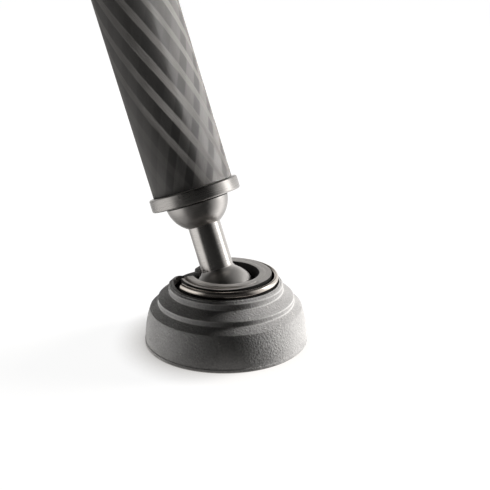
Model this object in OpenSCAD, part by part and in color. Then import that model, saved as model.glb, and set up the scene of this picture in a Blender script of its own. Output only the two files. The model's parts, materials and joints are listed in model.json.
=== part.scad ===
// Camera monopod: four telescoping tubes with twist locks on a ball-jointed rubber foot.
// The column leans on its ball, as it does when the sole stands flat and the hand holds the top.

/* [Ball joint] */
// Diameter of the steel ball
ball_d = 19.5; // [16:0.5:22]
// Diameter of the polished stem
stem_d = 9.9; // [8:0.1:11]
// Largest tilt that the foot allows in any direction
tilt_max = 28; // [20:1:30]
// Room between the tilted stem and the mouth of the split ring
tilt_room = 0.31; // [0.2:0.01:0.6]
// Lean of the column from upright
lean_angle = 20; // [0:0.5:28]
// Direction of the lean, seen from above
lean_azimuth = 145.6; // [0:0.1:360]
// Room between the ball and its plastic and metal seats
ball_room = 0.1; // [0.05:0.01:0.2]
// Wall of the plastic seat beside the ball
seat_wall = 2.75; // [2:0.05:4]
// Plastic under the ball
seat_floor = 0.8; // [0.6:0.05:2]
// Radius of the hole in the bottom of the seat
seat_hole_r = 4; // [2:0.1:6]
// Drop of the seat's top edge below the ball's centre
seat_drop = 0.6; // [0.3:0.1:3]
// Running fit of the seat in the core
seat_fit = 0.05; // [0.02:0.01:0.1]

/* [Split ring] */
// Height of the ring's top above the ball's centre
ring_rise = 7.6; // [6:0.1:8.5]
// Wall of the ring at its top
ring_wall = 3.75; // [3:0.05:4.5]
// Height at which the bearing zone ends and the funnel starts, above the ball's centre
neck_rise = 4.4; // [3.6:0.1:5]
// Height of the ring's top band, above the spring ring's seat
band_h = 0.85; // [0.5:0.05:1.2]
// Step outward below the top band
band_step = 0.61; // [0.3:0.01:1]
// Rounding of the ring's top edges
ring_round = 0.35; // [0.2:0.05:0.45]
// Middle of the ring's opening, seen from above
ring_gap_azimuth = 145.6; // [0:0.1:360]
// Width of the ring's opening
ring_gap_angle = 101; // [90:1:120]
// Thickness of the flange that the rubber holds down
flange_t = 2; // [1.2:0.1:3]
// How far the flange stands out past the core
flange_lip = 0.95; // [0.6:0.05:1.5]
// Step at the top of the flange, under the spring ring
flange_step = 0.6; // [0.5:0.05:1]
// Wire of the spring ring
wire_d = 1.7; // [1.2:0.1:2]
// Spring ring's room on the split ring
wire_room = 0.02; // [0.01:0.01:0.05]
// Middle of the spring ring's opening, seen from above
wire_gap_azimuth = 145.6; // [0:0.1:360]
// Width of the spring ring's opening
wire_gap_angle = 128; // [110:1:150]

/* [Rubber foot] */
// Rubber under the hard core
sole_t = 1.8; // [1.5:0.1:4]
// Floor of the hard core
core_floor = 1.3; // [1:0.1:3]
// Wall of the hard core
core_wall = 3.2; // [2:0.1:5]
// Height of the core's top above the ball's centre
core_rise = 2.6; // [2:0.1:3]
// How far the rubber bead reaches over the flange
bead_reach = 1.1; // [0.6:0.05:1.3]
// Thickness of the bead
bead_t = 0.5; // [0.4:0.05:1]
// Rubber outside the bead's edge at the rim
rim_wall = 1.65; // [1.2:0.05:2]
// Height of the rim's outer wall
rim_h = 2.95; // [2:0.05:3.5]
// Middle of the notch in the rim, seen from above
notch_azimuth = 145.6; // [0:0.1:360]
// Angle from the notch's middle to where the rim's ends curl inward
curl_angle = 28.3; // [26:0.1:32]
// Radius of the rim's curled ends
curl_r = 3.4; // [3:0.1:3.8]
// Radius of the pocket inside a curled end
pocket_r = 1.7; // [1.2:0.1:2]
// Set-back of the curled ends from the rim's outside
curl_inset = 0.15; // [0.1:0.05:0.3]
// Width of the middle tier
tier_step = 3.4; // [2:0.1:5]
// Fall of the middle tier's sloping top
tier_drop = 2.1; // [1:0.1:3]
// Height of the middle tier's wall
tier_h = 1.5; // [1:0.1:2]
// Width of the shoulder
shoulder_step = 2.45; // [1.5:0.05:4]
// Fall of the shoulder
shoulder_drop = 1.65; // [1:0.05:2]
// How far the skirt swells below the shoulder
skirt_flare = 1.8; // [0.8:0.1:3]
// Rounding of the rubber's edges
rubber_round = 0.45; // [0.2:0.05:0.6]
// Rounding of the sole's edge
sole_round = 0.8; // [0.4:0.1:1.2]
// Number of ring grooves in the sole
tread_count = 4; // [2:1:5]
// Distance from one sole groove to the next
tread_pitch = 4.6; // [3:0.1:5]
// Width of a sole groove
tread_w = 1.4; // [0.8:0.1:2]
// Depth of a sole groove
tread_depth = 0.8; // [0.4:0.1:1.2]

/* [Leg end] */
// From the ball's centre to the underside of the collar
reach = 30.4; // [26:0.1:36]
// Diameter of the dome under the collar
dome_d = 19.14; // [17:0.02:22]
// Height of the dome's centre above the collar's underside
dome_rise = 0.5; // [0:0.1:2]
// From the stem's shoulder in the dome to the collar
stem_seat = 4.9; // [3:0.1:6]
// Step of the collar out past the lowest tube
collar_step = 1.5; // [0.8:0.1:3]
// Thickness of the collar
collar_t = 3.5; // [2:0.1:6]
// Rounding of the collar's edges
collar_round = 0.8; // [0.3:0.1:1]
// Diameter of the stud that screws into the leg end
stud_d = 8; // [5:0.5:9]
// Length of the stud past the collar's underside
stud_len = 13; // [8:0.5:16]
// Room around the stud and the stem's end
stud_room = 0.05; // [0.03:0.01:0.1]
// Length of the leg end's spigot in the tube
spigot_len = 18; // [14:0.5:30]

/* [Tubes] */
// Outer diameter of the lowest tube
tube_d = 24.4; // [20:0.1:30]
// Wall of every tube
tube_wall = 1.4; // [1:0.1:2]
// Room between one tube and the next
tube_gap = 0.65; // [0.4:0.05:1.2]
// Length of the top tube
top_tube_len = 298; // [240:1:400]
// Lowest tube on show, with the foot drawn out as in use
bottom_show = 68; // [66:1:120]
// Left between collar and lock when the lowest tube is pushed in
closed_gap = 2; // [1:0.5:5]
// Set-back of each tube's top below the next larger one's
nest_gap = 6; // [4:0.5:15]
// Length of the guide bush on a tube's top
bush_len = 30; // [15:1:40]
// Thickness of the bush's rim on the tube's end
bush_rim = 1.2; // [0.8:0.1:2]
// Running fit of bushes and collets on the tubes
slide_fit = 0.06; // [0.03:0.01:0.1]

/* [Twist locks] */
// Height of one lock
lock_len = 33; // [28:0.5:45]
// Room between one lock and the next
lock_gap = 0.8; // [0.5:0.1:3]
// Height of the tube's end above the lock's bottom
tube_inset = 10; // [9:0.5:14]
// Wall of the threaded sleeve on the tube
sleeve_t = 1.6; // [1.2:0.1:2.5]
// Reach of the sleeve below the tube's end
sleeve_reach = 3.5; // [2.5:0.1:4]
// Widening of the sleeve's cone at its mouth
cone_flare = 0.8; // [0.4:0.1:1]
// Room between the collet's cone and the sleeve's
cone_room = 0.22; // [0.1:0.02:0.4]
// Height of the sleeve's rim above the ring
rim_ring_h = 3.3; // [2:0.1:5]
// Room around the lock ring's thread and ends
thread_room = 0.1; // [0.05:0.01:0.2]
// Wall of the lock ring
nut_t = 1.7; // [1.2:0.1:3]
// Lip at the bottom of the lock ring
lip_h = 2.8; // [2:0.1:4]
// Room between the lip and the smaller tube
lip_room = 0.5; // [0.3:0.05:0.8]
// Height of the wiper seal in the lip
seal_h = 1.3; // [0.8:0.1:1.6]
// Depth of the seal's groove in the lip
seal_depth = 1; // [0.5:0.1:1.5]
// Room between the seal and the smaller tube
seal_room = 0.1; // [0.05:0.01:0.2]
// Height of the collet's flange
collet_flange_h = 3.1; // [2:0.1:4]
// Step of the collet's flange out past its tube
collet_flange_step = 1.2; // [0.8:0.1:1.5]
// Slit through the collet
collet_slit = 1.6; // [0.8:0.1:3]
// Thickness of the rubber band on the lock ring
grip_band_t = 1.2; // [0.8:0.1:2]
// Bare metal below the rubber band
band_start = 3.5; // [2:0.1:6]
// Bare metal above the rubber band
band_end = 2.5; // [1:0.1:5]
// Number of flutes in the rubber band
flute_count = 24; // [12:1:32]
// Radius of a flute
flute_r = 1; // [0.6:0.1:1.6]
// Depth of a flute
flute_depth = 0.5; // [0.2:0.05:0.8]

/* [Hand grip] */
// Length of the foam grip
grip_len = 183; // [120:1:210]
// Thickness of the grip at its ends
grip_end_t = 2.6; // [2:0.1:5]
// Swell of the grip at its middle
grip_swell = 1.2; // [0.4:0.1:3]
// Number of finger grooves
groove_count = 12; // [4:1:16]
// Distance from one finger groove to the next
groove_pitch = 9; // [6:0.5:12]
// Radius of a finger groove
groove_r = 1.2; // [0.6:0.1:2]
// Height of the metal ring under the grip
grip_ring_h = 4; // [2:0.1:8]

/* [Head] */
// How far the head covers the top tube
head_cover = 10; // [6:0.5:16]
// Height of the head above the tube's end
head_h = 13; // [11:0.5:25]
// Wall of the head round the tube
head_wall = 3.65; // [2.5:0.05:6]
// Depth of the head's waist
waist_depth = 1.6; // [0.5:0.1:2]
// Height of the head's skirt below its waist
head_skirt = 7; // [4:0.5:9]
// Diameter of the top plate
plate_d = 62; // [56:1:80]
// Thickness of the top plate
plate_t = 4; // [3:0.1:8]
// Rounding of the plate's edges
plate_round = 0.8; // [0.3:0.1:1.4]
// Thickness of the pad on the plate
pad_t = 1.4; // [0.8:0.1:3]
// Plate on show round the pad
pad_inset = 1.5; // [0.5:0.1:4]
// Diameter of the hole in the pad
pad_hole_d = 18; // [17:0.5:24]
// Diameter of the camera screw, three eighths of an inch
screw_d = 9.525; // [6.35:0.005:9.525]
// Height of the camera screw above the plate
screw_rise = 10.5; // [6:0.5:14]
// Depth of the camera screw below the plate's top
screw_sink = 11; // [8:0.5:14]
// Diameter of the camera screw's flange
screw_flange_d = 15; // [12:0.5:16]
// Thickness of the camera screw's flange
screw_flange_t = 1.2; // [0.8:0.1:2]
// Room round the camera screw and the set screws
screw_room = 0.05; // [0.02:0.01:0.1]
// Number of set screws that lock a head on the plate
set_count = 3; // [2:1:4]
// Diameter of a set screw
set_d = 3; // [2:0.5:4]
// Length of a set screw
set_len = 6.4; // [5.5:0.1:10]
// Set screw's end below the pad's top
set_low = 1.5; // [1.4:0.1:3]
// From the plate's edge to a set screw's centre
set_inset = 4.5; // [3:0.5:6]

/* [Hidden] */
$fn = 96;
ball_r = ball_d / 2;
stem_r = stem_d / 2;
stud_r = stud_d / 2;
seat_r = ball_r + ball_room + seat_wall;
core_bore_r = seat_r + seat_fit;
core_r = core_bore_r + core_wall;
core_floor_z = sole_t + core_floor;
seat_z = core_floor_z + seat_fit;
ball_z = seat_z + seat_floor + ball_room + ball_r;
core_top_z = ball_z + core_rise;
flange_r = core_r + flange_lip;
bead_r = flange_r - bead_reach;
bead_z = core_top_z + flange_t + seat_fit;
rim_z = bead_z + bead_t;
rim_r = bead_r + rim_wall;
flange_top_r = bead_r - 2 * ball_room;
flange_top_z = core_top_z + flange_t + flange_step + ball_room;
mouth_r = (stem_r + tilt_room + ring_rise * sin(tilt_max)) / cos(tilt_max);
ring_r = mouth_r + ring_wall;
ring_top_z = ball_z + ring_rise;
wire_seat_r = ring_r + band_step;
wire_r = wire_d / 2;
wire_ring_r = wire_seat_r + wire_room + wire_r;
wire_z = flange_top_z + wire_room + wire_r;
seat_sphere_r = ball_r + ball_room;
neck_r = sqrt(pow(seat_sphere_r, 2) - pow(neck_rise, 2));
rim_base_z = rim_z - rim_h;
tier_r = rim_r + tier_step;
tier_z = rim_base_z - tier_drop;
tier_base_z = tier_z - tier_h;
shoulder_r = tier_r + shoulder_step;
shoulder_z = tier_base_z - shoulder_drop;
foot_r = shoulder_r + skirt_flare;
skirt_h = shoulder_z - sole_round;
skirt_arc_r = (pow(skirt_h, 2) + pow(skirt_flare, 2)) / (2 * skirt_flare);
skirt_arc_angle = asin(skirt_h / skirt_arc_r);

tube_4_r = tube_d / 2;
tube_pitch = tube_wall + tube_gap;
collar_r = tube_4_r + collar_step;
collar_top = reach + collar_t;
stem_end = reach - stem_seat;
dome_r = dome_d / 2;
dome_c = reach + dome_rise;
retract = bottom_show - closed_gap;
grip_s1 = tube_s(1) + top_tube_len - head_cover;
grip_s0 = grip_s1 - grip_len;
head_top = tube_top(1) + head_h;
head_r = tube_r(1) + head_wall;
plate_r = plate_d / 2;
plate_top = head_top + plate_t;
pad_top = plate_top + pad_t;
screw_r = screw_d / 2;
set_r = set_d / 2;
set_circle_r = plate_r - set_inset;
set_angle = 360 / set_count;

// Outer radius of a tube: 1 is the top one, 4 the lowest
function tube_r(i) = tube_4_r + (4 - i) * tube_pitch;
// Bottom of a lock, along the column from the ball's centre
function lock_s(i) = collar_top + bottom_show + (3 - i) * (lock_len + lock_gap);
// Lower end of a tube
function tube_s(i) = i == 4 ? collar_top : lock_s(i) + tube_inset;
// Upper end of a tube
function tube_top(i) =
    i == 1 ? tube_s(1) + top_tube_len
    : i == 4 ? tube_top(3) - nest_gap - retract
    : tube_top(i - 1) - nest_gap;
// Points of an arc in a turned profile
function arc(c, r, a0, a1, n = 8) =
    [for (i = [0:n]) c + r * [cos(a0 + (a1 - a0) * i / n), sin(a0 + (a1 - a0) * i / n)]];

module turned(profile) {
    rotate_extrude() polygon(profile);
}

// The column's own frame: the ball's centre is its origin, and the column runs along +Z
module column() {
    translate([0, 0, ball_z]) rotate([0, lean_angle, lean_azimuth]) children();
}

module tube_body(r, s0, s1) {
    translate([0, 0, s0]) difference() {
        cylinder(r = r, h = s1 - s0);
        translate([0, 0, -1]) cylinder(r = r - tube_wall, h = s1 - s0 + 2);
    }
}

// A slice of the rim, as wide as the notch
module notch_slice() {
    rotate([0, 0, notch_azimuth - curl_angle]) rotate_extrude(angle = 2 * curl_angle)
        polygon([
            [core_bore_r, core_top_z], [rim_r + 1, core_top_z], [rim_r + 1, rim_z + 1], [core_bore_r, rim_z + 1]
        ]);
}

// One of the rim's ends, which curls inward beside the notch
module curled_end(side) {
    curl_h = rim_z - core_top_z;
    intersection() {
        rotate([0, 0, notch_azimuth + side * curl_angle])
            translate([rim_r - curl_inset - curl_r, 0, core_top_z]) difference() {
                cylinder(r = curl_r, h = curl_h);
                translate([0, 0, -1]) cylinder(r = pocket_r, h = curl_h + 2);
            }
        notch_slice();
    }
}

// Sole, skirt, shoulder, middle tier and rim, with the recess for the core and the flange
module rubber_foot() {
    color("#3b3b3d") union() {
        notched_body();
        curled_end(-1);
        curled_end(1);
    }
}

module notched_body() {
    difference() {
        turned(concat(
            [[0, 0]],
            arc([foot_r - sole_round, sole_round], sole_round, -90, 0, 6),
            arc([foot_r - skirt_arc_r, sole_round], skirt_arc_r, 0, skirt_arc_angle, 10),
            [[tier_r, tier_base_z]],
            arc([tier_r - rubber_round, tier_z - rubber_round], rubber_round, 0, 90, 5),
            [[rim_r, rim_base_z]],
            arc([rim_r - rubber_round, rim_z - rubber_round], rubber_round, 0, 90, 5),
            [
                [bead_r, rim_z], [bead_r, bead_z], [flange_r, bead_z],
                [flange_r, core_top_z], [core_r, core_top_z], [core_r, sole_t], [0, sole_t]
            ]
        ));
        for (i = [1:tread_count])
            translate([0, 0, -1]) difference() {
                cylinder(r = i * tread_pitch + tread_w / 2, h = tread_depth + 1);
                cylinder(r = i * tread_pitch - tread_w / 2, h = tread_depth + 1);
            }
        notch_slice();
    }
}

// Hard cup moulded into the rubber
module foot_core() {
    color("#4a4a4c") turned([
        [0, sole_t], [core_r, sole_t], [core_r, core_top_z], [core_bore_r, core_top_z],
        [core_bore_r, core_floor_z], [0, core_floor_z]
    ]);
}

// Open ring that keeps the ball in: flange below, spherical bearing zone, funnel above
module split_ring() {
    flange_low_z = core_top_z + flange_t;
    band_z = ring_top_z - band_h;
    color("#56565a") difference() {
        rotate([0, 0, ring_gap_azimuth + ring_gap_angle / 2])
            rotate_extrude(angle = 360 - ring_gap_angle)
                polygon(concat(
                    [
                        [neck_r, core_top_z], [flange_r, core_top_z], [flange_r, flange_low_z],
                        [flange_top_r, flange_low_z], [flange_top_r, flange_top_z],
                        [wire_seat_r, flange_top_z], [wire_seat_r, band_z - band_step / 2],
                        [ring_r, band_z]
                    ],
                    arc([ring_r - ring_round, ring_top_z - ring_round], ring_round, 0, 90, 5),
                    arc([mouth_r + ring_round, ring_top_z - ring_round], ring_round, 90, 180, 5),
                    [[neck_r, ball_z + neck_rise]]
                ));
        translate([0, 0, ball_z]) sphere(r = seat_sphere_r);
    }
}

// Spring wire that clasps the split ring
module spring_ring() {
    color("#c9c6bf") translate([0, 0, wire_z])
        rotate([0, 0, wire_gap_azimuth + wire_gap_angle / 2])
            rotate_extrude(angle = 360 - wire_gap_angle)
                translate([wire_ring_r, 0]) circle(r = wire_r);
}

// Plastic cup that carries the ball and turns in the core
module ball_seat() {
    seat_h = ball_z - seat_drop - seat_z;
    color("#d8d6cf") difference() {
        translate([0, 0, seat_z]) cylinder(r = seat_r, h = seat_h);
        translate([0, 0, ball_z]) sphere(r = seat_sphere_r);
        translate([0, 0, seat_z - 1]) cylinder(r = seat_hole_r, h = ball_r);
    }
}

// Ball, stem and stud, turned from one bar
module ball_stem() {
    stud_end = reach + stud_len;
    color("#b9b9bb") column() union() {
        sphere(r = ball_r);
        cylinder(r = stem_r, h = stem_end);
        cylinder(r = stud_r, h = stud_end);
    }
}

// Spherical spacer between the stem and the collar
module stem_dome() {
    color("#47484b") column() difference() {
        intersection() {
            translate([0, 0, dome_c]) sphere(r = dome_r);
            translate([0, 0, dome_c - dome_r]) cylinder(r = dome_r + 1, h = dome_r - dome_rise);
        }
        translate([0, 0, dome_c - dome_r - 1]) cylinder(r = stem_r + stud_room, h = stem_end - dome_c + dome_r + 1);
        cylinder(r = stud_r + stud_room, h = reach + 1);
    }
}

// Collar that closes the lowest tube, with its spigot and the stud's threaded hole
module end_cap() {
    spigot_r = tube_4_r - tube_wall;
    color("#47484b") column() difference() {
        turned(concat(
            [[0, reach]],
            arc([collar_r - collar_round, reach + collar_round], collar_round, -90, 0, 6),
            arc([collar_r - collar_round, collar_top - collar_round], collar_round, 0, 90, 6),
            [[spigot_r, collar_top], [spigot_r, collar_top + spigot_len], [0, collar_top + spigot_len]]
        ));
        translate([0, 0, reach - 1]) cylinder(r = stud_r + stud_room, h = stud_len + 2);
    }
}

module tube(i) {
    color("#2c2d2f") column() tube_body(tube_r(i), tube_s(i), tube_top(i));
}

// Guide bush on a tube's top: a thin sleeve with a rim over the tube's end
module bush(i) {
    r_in = tube_r(i);
    r_out = r_in + tube_gap - slide_fit;
    top = tube_top(i);
    color("#1f2022") column() turned([
        [r_in, top - bush_len], [r_out, top - bush_len], [r_out, top + bush_rim],
        [r_in - tube_wall, top + bush_rim], [r_in - tube_wall, top], [r_in, top]
    ]);
}

// Threaded sleeve bonded on the tube's lower end, with a cone at its mouth and a rim at its top
module lock_sleeve(i) {
    r = tube_r(i);
    r_out = r + sleeve_t;
    r_rim = r_out + thread_room + nut_t + grip_band_t - rubber_round;
    s0 = lock_s(i);
    tube_end = s0 + tube_inset;
    s1 = s0 + lock_len;
    color("#5b5c60") column() turned([
        [r, tube_end], [r + cone_flare, tube_end - sleeve_reach], [r_out, tube_end - sleeve_reach],
        [r_out, s1 - rim_ring_h], [r_rim, s1 - rim_ring_h], [r_rim, s1 - rubber_round],
        [r_rim - rubber_round, s1], [r, s1]
    ]);
}

// Split collet that the ring presses onto the smaller tube
module lock_collet(i) {
    r = tube_r(i);
    r_in = tube_r(i + 1) + slide_fit;
    s0 = lock_s(i) + lip_h + thread_room;
    s_flange = s0 + collet_flange_h;
    s_mouth = lock_s(i) + tube_inset - sleeve_reach;
    s_top = lock_s(i) + tube_inset - cone_room;
    color("#c8c6c0") column() difference() {
        turned([
            [r_in, s0], [r + collet_flange_step, s0], [r + collet_flange_step, s_flange],
            [r + cone_flare - cone_room, s_flange], [r + cone_flare - cone_room, s_mouth],
            [r - cone_room, s_top], [r_in, s_top]
        ]);
        translate([0, -collet_slit / 2, s0 - 1]) cube([2 * r, collet_slit, s_top - s0 + 2]);
    }
}

// Ring nut of a lock, with the seal's groove in its lip
module lock_ring(i) {
    r_in = tube_r(i) + sleeve_t + thread_room;
    r_out = r_in + nut_t;
    r_lip = tube_r(i + 1) + lip_room;
    s0 = lock_s(i);
    s1 = s0 + lock_len - rim_ring_h - thread_room;
    seal_s = s0 + (lip_h - seal_h) / 2;
    color("#4d4e52") column() turned([
        [r_lip, s0], [r_out - rubber_round, s0], [r_out, s0 + rubber_round], [r_out, s1], [r_in, s1],
        [r_in, s0 + lip_h], [r_lip, s0 + lip_h], [r_lip, seal_s + seal_h], [r_lip + seal_depth, seal_s + seal_h],
        [r_lip + seal_depth, seal_s], [r_lip, seal_s]
    ]);
}

// Fluted rubber band round the ring nut
module lock_band(i) {
    r_in = tube_r(i) + sleeve_t + thread_room + nut_t;
    r_out = r_in + grip_band_t;
    s0 = lock_s(i) + band_start;
    s1 = lock_s(i) + lock_len - rim_ring_h - thread_room - band_end;
    color("#262628") column() difference() {
        turned([
            [r_in, s0], [r_out - rubber_round, s0], [r_out, s0 + rubber_round],
            [r_out, s1 - rubber_round], [r_out - rubber_round, s1], [r_in, s1]
        ]);
        for (k = [0:flute_count - 1])
            rotate([0, 0, k * 360 / flute_count]) translate([r_out + flute_r - flute_depth, 0, s0 - 1])
                cylinder(r = flute_r, h = s1 - s0 + 2, $fn = 24);
    }
}

// Wiper that keeps dirt out of a lock
module lock_seal(i) {
    r_tip = tube_r(i + 1) + seal_room;
    r_lip = tube_r(i + 1) + lip_room;
    seal_s = lock_s(i) + (lip_h - seal_h) / 2;
    tip_s = seal_s + seal_h / 4;
    color("#202022") column() turned([
        [r_tip, tip_s], [r_lip, seal_s], [r_lip + seal_depth, seal_s], [r_lip + seal_depth, seal_s + seal_h],
        [r_lip, seal_s + seal_h], [r_tip, seal_s + seal_h - seal_h / 4]
    ]);
}

module grip_ring() {
    r = tube_r(1);
    color("#5b5c60") column() turned([
        [r, grip_s0 - grip_ring_h], [r + grip_end_t - rubber_round, grip_s0 - grip_ring_h],
        [r + grip_end_t, grip_s0 - grip_ring_h + rubber_round], [r + grip_end_t, grip_s0], [r, grip_s0]
    ]);
}

// Foam grip: a swelling sleeve with finger grooves round its middle
module hand_grip() {
    r = tube_r(1);
    half = grip_len / 2;
    swell_r = (pow(half, 2) + pow(grip_swell, 2)) / (2 * grip_swell);
    swell_angle = asin(half / swell_r);
    swell_x = r + grip_end_t + grip_swell - swell_r;
    middle = grip_s0 + half;
    color("#2a2a2c") column() difference() {
        turned(concat(
            [[r, grip_s0]],
            arc([swell_x, middle], swell_r, -swell_angle, swell_angle, 16),
            [[r, grip_s1]]
        ));
        for (k = [0:groove_count - 1]) {
            offset_s = (k - (groove_count - 1) / 2) * groove_pitch;
            groove_x = swell_x + sqrt(pow(swell_r, 2) - pow(offset_s, 2));
            translate([0, 0, middle + offset_s]) rotate_extrude()
                translate([groove_x + groove_r / 2, 0]) circle(r = groove_r, $fn = 24);
        }
    }
}

// Cap on the top tube that carries the plate
module head() {
    r = tube_r(1);
    waist_s = grip_s1 + head_skirt;
    waist_h = (head_top - waist_s) / 2;
    waist_arc_r = (pow(waist_h, 2) + pow(waist_depth, 2)) / (2 * waist_depth);
    waist_angle = asin(waist_h / waist_arc_r);
    waist_x = head_r - waist_depth + waist_arc_r;
    color("#5b5c60") column() difference() {
        turned(concat(
            [[r, grip_s1], [head_r - rubber_round, grip_s1], [head_r, grip_s1 + rubber_round]],
            arc([waist_x, waist_s + waist_h], waist_arc_r, 180 + waist_angle, 180 - waist_angle, 10),
            [[0, head_top], [0, tube_top(1)], [r, tube_top(1)]]
        ));
        translate([0, 0, plate_top - screw_sink - screw_room]) cylinder(r = screw_r + screw_room, h = screw_sink);
    }
}

module set_screw_places() {
    for (k = [0:set_count - 1]) rotate([0, 0, k * set_angle]) translate([set_circle_r, 0, 0]) children();
}

// Platform for a camera or a tripod head
module top_plate() {
    color("#6a6b70") column() difference() {
        turned(concat(
            [[0, head_top]],
            arc([plate_r - plate_round, head_top + plate_round], plate_round, -90, 0, 6),
            arc([plate_r - plate_round, plate_top - plate_round], plate_round, 0, 90, 6),
            [[0, plate_top]]
        ));
        translate([0, 0, head_top - 1]) cylinder(r = screw_r + screw_room, h = plate_t + 2);
        set_screw_places() translate([0, 0, head_top - 1]) cylinder(r = set_r + screw_room, h = plate_t + 2);
    }
}

module top_pad() {
    color("#1d1d1f") column() difference() {
        translate([0, 0, plate_top]) cylinder(r = plate_r - pad_inset, h = pad_t);
        translate([0, 0, plate_top - 1]) cylinder(r = pad_hole_d / 2, h = pad_t + 2);
        set_screw_places() translate([0, 0, plate_top - 1]) cylinder(r = set_r + screw_room, h = pad_t + 2);
    }
}

module camera_screw() {
    tip = plate_top + screw_rise;
    tip_bevel = 0.8;
    color("#a9a9ab") column() turned([
        [0, plate_top - screw_sink], [screw_r, plate_top - screw_sink], [screw_r, plate_top],
        [screw_flange_d / 2, plate_top], [screw_flange_d / 2, plate_top + screw_flange_t],
        [screw_r, plate_top + screw_flange_t], [screw_r, tip - tip_bevel], [screw_r - tip_bevel, tip], [0, tip]
    ]);
}

module set_screws() {
    color("#8d8d90") column() set_screw_places()
        translate([0, 0, pad_top - set_low - set_len]) cylinder(r = set_r, h = set_len);
}

rubber_foot();
foot_core();
split_ring();
spring_ring();
ball_seat();
ball_stem();
stem_dome();
end_cap();
tube(4);  // tube_4
bush(4);  // bush_4
tube(3);  // tube_3
bush(3);  // bush_3
lock_sleeve(3);  // lock_3_sleeve
lock_collet(3);  // lock_3_collet
lock_ring(3);  // lock_3_ring
lock_band(3);  // lock_3_band
lock_seal(3);  // lock_3_seal
tube(2);  // tube_2
bush(2);  // bush_2
lock_sleeve(2);  // lock_2_sleeve
lock_collet(2);  // lock_2_collet
lock_ring(2);  // lock_2_ring
lock_band(2);  // lock_2_band
lock_seal(2);  // lock_2_seal
tube(1);  // tube_1
lock_sleeve(1);  // lock_1_sleeve
lock_collet(1);  // lock_1_collet
lock_ring(1);  // lock_1_ring
lock_band(1);  // lock_1_band
lock_seal(1);  // lock_1_seal
grip_ring();
hand_grip();
head();
top_plate();
top_pad();
camera_screw();
set_screws();
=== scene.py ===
"""Camera monopod on its ball-jointed rubber foot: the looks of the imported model."""
import json
import math

import bmesh
import bpy
from mathutils import Matrix, Vector


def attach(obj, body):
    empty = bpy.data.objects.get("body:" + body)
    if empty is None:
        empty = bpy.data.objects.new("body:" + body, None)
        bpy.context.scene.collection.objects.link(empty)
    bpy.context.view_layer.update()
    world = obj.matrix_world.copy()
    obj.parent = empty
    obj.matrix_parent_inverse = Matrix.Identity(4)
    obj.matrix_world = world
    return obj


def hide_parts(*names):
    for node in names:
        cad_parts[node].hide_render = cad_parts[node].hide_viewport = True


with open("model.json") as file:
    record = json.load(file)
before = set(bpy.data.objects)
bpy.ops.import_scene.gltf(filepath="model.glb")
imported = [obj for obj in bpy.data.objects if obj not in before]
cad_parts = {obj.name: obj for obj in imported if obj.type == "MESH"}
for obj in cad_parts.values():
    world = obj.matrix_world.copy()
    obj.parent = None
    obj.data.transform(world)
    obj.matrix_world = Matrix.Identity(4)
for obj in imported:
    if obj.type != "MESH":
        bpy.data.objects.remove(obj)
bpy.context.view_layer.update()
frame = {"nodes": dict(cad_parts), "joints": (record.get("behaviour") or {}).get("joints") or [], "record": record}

MM = 0.001
RECORD = frame["record"]
JOINTS = {joint["name"]: joint for joint in frame["joints"]}
BODY = {node: body for body, nodes in RECORD["behaviour"]["bodies"].items() for node in nodes}
SLOT = {part["node"]: part["material_slot"] for part in RECORD["subparts"]}

# The foot's frame is the row frame; the column's frame starts at the ball's centre, with its Z along the leg
FOOT = Matrix.Identity(4)
ALONG = Vector(JOINTS["leg_pan"]["axis"]).normalized()
ACROSS = Vector(JOINTS["leg_tilt"]["axis"]).normalized()
COLUMN = Matrix((ACROSS.cross(ALONG), ACROSS, ALONG)).transposed().to_4x4()
COLUMN.translation = Vector(JOINTS["leg_tilt"]["pos_m"])
LEAN = math.degrees(math.atan2(ALONG.y, ALONG.x))

# Radii and places of the tubes and locks in millimetres, 1 at the top and 4 at the foot
TUBE_R = {1: 18.35, 2: 16.3, 3: 14.25, 4: 12.2}
TUBE_S = {1: (179.5, 477.5), 2: (145.7, 471.5), 3: (111.9, 465.5), 4: (33.9, 393.5)}
LOCK_S = {1: 169.5, 2: 135.7, 3: 101.9}
TUBE_WALL = 1.4
LOCK_LEN = 33.0

# Where the ball meets the stem, in millimetres along the column
NECK_S = 8.9


# Profiles and turned meshes


def arc(r, z, radius, start, stop, steps=10):
    """Points of an arc in a profile, with its angles in degrees."""
    found = []
    for i in range(steps + 1):
        a = math.radians(start + (stop - start) * i / steps)
        found.append((r + radius * math.cos(a), z + radius * math.sin(a)))
    return found


def bow_radius(half, rise):
    """The radius of an arc that rises by so much over half its chord."""
    return (half ** 2 + rise ** 2) / (2 * rise)


def rounded(corners, steps=5):
    """A closed profile in which each corner with a third number is rounded to that radius."""
    found = []
    for i, corner in enumerate(corners):
        here = Vector(corner[:2])
        if len(corner) < 3:
            found.append(tuple(here))
            continue
        back = Vector(corners[i - 1][:2]) - here
        ahead = Vector(corners[(i + 1) % len(corners)][:2]) - here
        half = back.angle(ahead) / 2
        reach = min(corner[2] / math.tan(half), 0.49 * back.length, 0.49 * ahead.length)
        radius = reach * math.tan(half)
        centre = here + (back.normalized() + ahead.normalized()).normalized() * radius / math.sin(half)
        first = here + back.normalized() * reach - centre
        last = here + ahead.normalized() * reach - centre
        a = math.atan2(first.y, first.x)
        turn = math.atan2(last.y, last.x) - a
        turn = (turn + math.pi) % (2 * math.pi) - math.pi
        for k in range(steps + 1):
            angle = a + turn * k / steps
            found.append((centre.x + radius * math.cos(angle), centre.y + radius * math.sin(angle)))
    return found


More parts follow.
